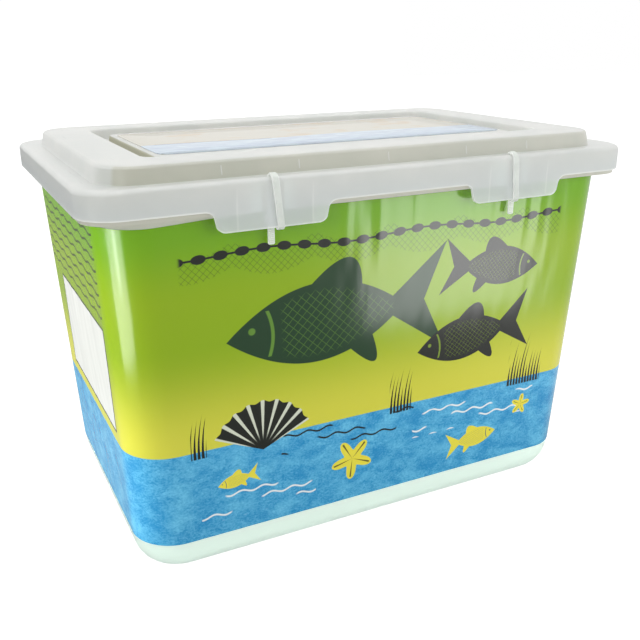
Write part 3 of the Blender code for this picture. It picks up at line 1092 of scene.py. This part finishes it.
def tabOutline(values, centre):
    # one tab from left to right: a flare out of the skirt's edge, a leaning side, a rounded foot
    halfTop, halfFoot = values["tabTop"] / 2, values["tabFoot"] / 2
    lean = math.degrees(math.atan2(halfTop - halfFoot, values["skirtBottom"] - lidLow.z))
    flare = arc((-halfTop, values["skirtBottom"] - values["tabFlare"]), values["tabFlare"], 90, lean, 6)
    foot = (-halfFoot + values["tabCorner"], lidLow.z + values["tabCorner"])
    left = flare + arc(foot, values["tabCorner"], 180 + lean, 270, 6)
    ribs = []
    for rib in values["ribs"]:
        ribs += [(rib - values["ribWidth"], lidLow.z), (rib, lidLow.z), (rib + values["ribWidth"], lidLow.z)]
    return [(centre + x, z) for x, z in left + ribs + [(-x, z) for x, z in reversed(left)]]


def skirtEdge(values):
    # the skirt's lower edge along the front, as (x, z)
    edge = []
    for centre in values["tabCentres"]:
        edge += tabOutline(values, centre)
    return edge


def lidRing(section, edge, steps, reach):
    # a ring whose long sides have one point for each point of the lower edge
    half, radius, z = section
    edgeX, edgeY = half[0] - radius, half[1] - radius
    columns = [-edgeX] + [x * edgeX / reach for x, _ in edge]
    points = [(x, -half[1]) for x in columns]
    points += arc((edgeX, -edgeY), radius, -90, 0, steps)[:-1]
    points += [(half[0], edgeY * share) for share in (-1, -0.33, 0.33)]
    points += arc((edgeX, edgeY), radius, 0, 90, steps)
    points += [(x, half[1]) for x in reversed(columns[1:])]
    points += arc((-edgeX, edgeY), radius, 90, 180, steps)[:-1]
    points += [(-half[0], -edgeY * share) for share in (-1, -0.33, 0.33)]
    points += arc((-edgeX, -edgeY), radius, 180, 270, steps)[:-1]
    return [(x, y, z) for x, y in points]


def lidSections(values):
    outer, corner = (lidHigh.x, lidHigh.y), values["skirtCorner"]
    footCorner = values["plateauCorner"] + values["footHalf"][0] - values["plateauHalf"][0]
    outerBend, innerBend = values["outerBend"], values["innerBend"]
    grooveLean, panelLean = values["grooveLean"], values["panelLean"]
    grooveFoot, panelFoot = inset(values["grooveHalf"], grooveLean), inset(values["panelHalf"], -panelLean)
    inner = inset(values["panelHalf"], values["panelMiddle"])
    grooveCorner, panelCorner = values["grooveCorner"], values["panelCorner"]
    return roundSections([
        (outer, corner, values["skirtBottom"] + values["skirtRows"][1], 0),
        (outer, corner, values["skirtTop"], values["skirtRound"]),
        (values["footHalf"], footCorner, values["footZ"], innerBend),
        (values["plateauHalf"], values["plateauCorner"], lidHigh.z, values["plateauRound"]),
        (values["grooveHalf"], grooveCorner, lidHigh.z, outerBend),
        (grooveFoot, grooveCorner - grooveLean, values["grooveFloor"], innerBend),
        (panelFoot, panelCorner + panelLean, values["grooveFloor"], innerBend),
        (values["panelHalf"], panelCorner, values["panelTop"], outerBend),
        (inner, 1 * mm, values["panelTop"], 0),
    ], 6)


def addTicks(lid, values):
    # faint upright ridges on the plateau's long walls, each with a painted highlight
    bm = bmesh.new()
    bm.from_mesh(lid.data)
    light = bm.verts.layers.float.get("edge")
    lean = (values["footHalf"][1] - values["plateauHalf"][1]) / (lidHigh.z - values["footZ"])
    for x in values["ticks"]:
        for side in (-1, 1):
            corners = []
            for z in (values["footZ"] + values["tickEnds"][0], lidHigh.z - values["tickEnds"][1]):
                wallY = values["footHalf"][1] - lean * (z - values["footZ"])
                for across, proud in values["tickSection"]:
                    corners.append(bm.verts.new((x + across, side * (wallY + proud), z)))
            for vertex in corners:
                vertex[light] = values["tickLight"]
            made = [bm.faces.new(corners[:4]), bm.faces.new(corners[4:])]
            for this, following in zip((0, 1, 2, 3), (1, 2, 3, 0)):
                wall = (corners[this], corners[following], corners[following + 4], corners[this + 4])
                made.append(bm.faces.new(wall))
            bmesh.ops.recalc_face_normals(bm, faces=made)
    bm.to_mesh(lid.data)
    bm.free()


def makeLid(values):
    edge = skirtEdge(values)
    reach = lidHigh.x - values["skirtCorner"]
    steps = values["cornerSteps"]
    sections = lidSections(values)
    bm = bmesh.new()
    rings = [lidRing(section, edge, steps, reach) for section in sections]
    level = [values["skirtBottom"]]
    heights = level + [z for _, z in edge] + level * (2 * steps + 4) + [z for _, z in reversed(edge)]
    heights += level * (len(rings[0]) - len(heights))
    lowest = [(x, y, z) for (x, y, _), z in zip(rings[0], heights)]
    second = [(x, y, z + values["skirtRows"][0]) for x, y, z in lowest]
    light = bm.verts.layers.float.new("edge")
    shade = bm.verts.layers.float.new("shade")
    loops = skinRings(bm, [lowest, second] + rings, capLast=True)
    # painted highlight along the skirt's lower edge, and a fainter one on the tab ribs
    for vertex in loops[0]:
        vertex[light] = 1.0
    ribPlaces = [centre + rib for centre in values["tabCentres"] for rib in values["ribs"]]
    for loop in loops[:3]:
        for vertex in loop:
            if min(abs(vertex.co.x - place) for place in ribPlaces) < 0.1 * mm:
                vertex[light] = values["ribLight"]
                vertex.co.y += math.copysign(values["ribHeight"], vertex.co.y)
    # painted shade: full on the panel's walls in the groove, and part on the plateau's long walls
    for loop, (half, radius, z) in zip(loops[2:], sections):
        onPanelWall = half[0] < values["panelHalf"][0] + 0.9 * mm and z < values["panelTop"] - 0.4 * mm
        fromPlateau = half[0] - values["plateauHalf"][0]
        onPlateauWall = -0.4 * mm < fromPlateau < 2 * mm and z > values["footZ"] + 0.1 * mm
        for vertex in loop:
            facingLong = abs(vertex.co.y) > half[1] - 4 * mm
            wallShade = values["wallShade"] + values["wallShadeRight"] * vertex.co.x
            vertex[shade] = 1.0 if onPanelWall else wallShade if onPlateauWall and facingLong else 0.0
    lid = meshPiece("lid_shell", bm)
    thicken(lid, values["wall"])
    applyModifiers(lid)
    for places in tieValues.values():
        middle = 0.5 * (places["top"] + places["tail"])
        halfX, halfY = values["slotSize"][0] / 2, values["slotSize"][1] / 2
        low = (middle - halfX, values["strapY"] - halfY, values["skirtTop"] - values["slotReach"])
        high = (middle + halfX, values["strapY"] + halfY, values["skirtTop"] + values["slotReach"])
        cutAway(lid, boxCutter("slot", low, high))
    softenEdges(lid, values["softEdge"])
    applyModifiers(lid)
    addTicks(lid, values)
    settle(lid, "lid_body", "lid", lidPlastic)


makeLid(lidValues)
print("lid is moulded")


# printed label on the lid's panel

lidLabelValues = {
    "half": (101.5 * mm, 45.5 * mm),
    "corner": 6 * mm,
    "film": 0.25 * mm,
    "standOff": 0.05 * mm,
    "middle": 20 * mm,      # from the label's edge to the ring that closes its top
    "counts": (12, 6, 8),
}


def makeLidLabel(values):
    low = lidValues["panelTop"] + values["standOff"]
    bm = bmesh.new()
    rings = []
    for depth, rise in ((0.1 * mm, 0), (0, 0.08 * mm), (0, 0.2 * mm), (0.1 * mm, values["film"])):
        section = (inset(values["half"], depth), values["corner"], low + rise)
        rings.append(liftRing(section, values["counts"]))
    middle = (inset(values["half"], values["middle"]), 1 * mm, low + values["film"])
    rings.append(liftRing(middle, values["counts"]))
    skinRings(bm, rings, capFirst=True, capLast=True)
    label = meshPiece("lid_print", bm)
    settle(label, "lid_body", "lid_label", lidPrint)


makeLidLabel(lidLabelValues)
print("lid label is stuck on")


# cable ties

strapValues = {
    "width": 3.2 * mm,
    "thickness": 1.1 * mm,
    "gap": 0.3 * mm,
    "tailEnd": 174.6 * mm,
    "head": (5.8 * mm, 4.2 * mm, 4.6 * mm),
    "headBottom": 184.2 * mm,
    "headRound": 0.6 * mm,
    "slotBend": 1.5 * mm,
    "toothPitch": 0.9 * mm,
    "betweenTeeth": 0.5,      # share of the strap's half thickness that is left there
    "plain": 1 * mm,      # stretch without teeth just under the head
    "intoHead": 0.5 * mm,
    "rim": 0.35 * mm,
    "rimHeight": 0.6,      # share of the half thickness where the strap's rounded rims begin
    "endTaper": 0.75,
}


def strapRoute(places, values):
    # the strap's middle line: up from the tail, over the skirt, down its face, round the tab's foot
    standOff = values["gap"] + values["thickness"] / 2
    inner = lidValues["strapY"]
    top = lidValues["skirtTop"] + standOff
    front = lidLow.y - standOff
    back = lidLow.y + lidValues["wall"] + standOff
    bottom = lidLow.z - standOff
    over = arc((inner - values["slotBend"], top - values["slotBend"]), values["slotBend"], 0, 90, 6)
    bend = lidValues["skirtRound"] + standOff
    over += arc((front + bend, top - bend), bend, 90, 180, 8)
    radius = (back - front) / 2
    under = arc((front + radius, bottom + radius), radius, 180, 360, 14)
    route = []
    z = values["tailEnd"]
    while z < top - values["slotBend"] - values["toothPitch"]:
        route.append((places["tail"], inner, z))
        z += values["toothPitch"] / 2
    route += [(places["top"], y, z) for y, z in over]
    route += [(places["bottom"], y, z) for y, z in under]
    entry = 0.5 * (places["bottom"] + places["tail"])
    route.append((entry, back, values["headBottom"] + values["intoHead"]))
    return route


def makeTie(node, places, values):
    route = [Vector(point) for point in strapRoute(places, values)]
    bm = bmesh.new()
    light = bm.verts.layers.float.new("edge")
    half, wide, rim = values["thickness"] / 2, values["width"] / 2, values["rim"]
    side = values["rimHeight"] * half
    rings, lights = [], []
    for index, point in enumerate(route):
        ahead = route[min(index + 1, len(route) - 1)] - route[max(index - 1, 0)]
        ahead.normalize()
        out = ahead.cross(Vector((1, 0, 0))).normalized()
        across = out.cross(ahead).normalized()
        toothed = point.z < values["headBottom"] - values["plain"] and point.y > lidLow.y + lidValues["wall"]
        inGap = toothed and index % 2
        face = half * (values["betweenTeeth"] if inGap else 1.0)
        taper = values["endTaper"] if index == 0 else 1.0
        section = ((-wide, -side), (-wide + rim, -face), (wide - rim, -face), (wide, -side),
                   (wide, side), (wide - rim, half), (-wide + rim, half), (-wide, side))
        rings.append([point + across * a * taper + out * b for a, b in section])
        # painted highlight on the strap's side edges and in the gaps between its teeth
        lights.append([1.0 if abs(a) == wide or inGap else 0.0 for a, _ in section])
    for loop, levels in zip(skinRings(bm, rings, capFirst=True, capLast=True), lights):
        for vertex, level in zip(loop, levels):
            vertex[light] = level
    bmesh.ops.recalc_face_normals(bm, faces=bm.faces)
    tie = meshPiece(node.replace("tie_", "strap_"), bm, 30)
    headY = lidLow.y + lidValues["wall"] + values["gap"] + values["head"][1] / 2
    halfHead = [length / 2 for length in values["head"]]
    low = (places["tail"] - halfHead[0], headY - halfHead[1], values["headBottom"])
    high = (places["tail"] + halfHead[0], headY + halfHead[1], values["headBottom"] + values["head"][2])
    head = boxCutter("head", low, high)
    softenEdges(head, values["headRound"], 3)
    applyModifiers(head)
    join = tie.modifiers.new("head", "BOOLEAN")
    join.operation = "UNION"
    join.solver = "EXACT"
    join.object = head
    applyModifiers(tie, 30)
    bpy.data.objects.remove(head, do_unlink=True)
    settle(tie, "lid_body", node, tieNylon)


for node, places in tieValues.items():
    makeTie(node, places, strapValues)
print("ties are threaded")
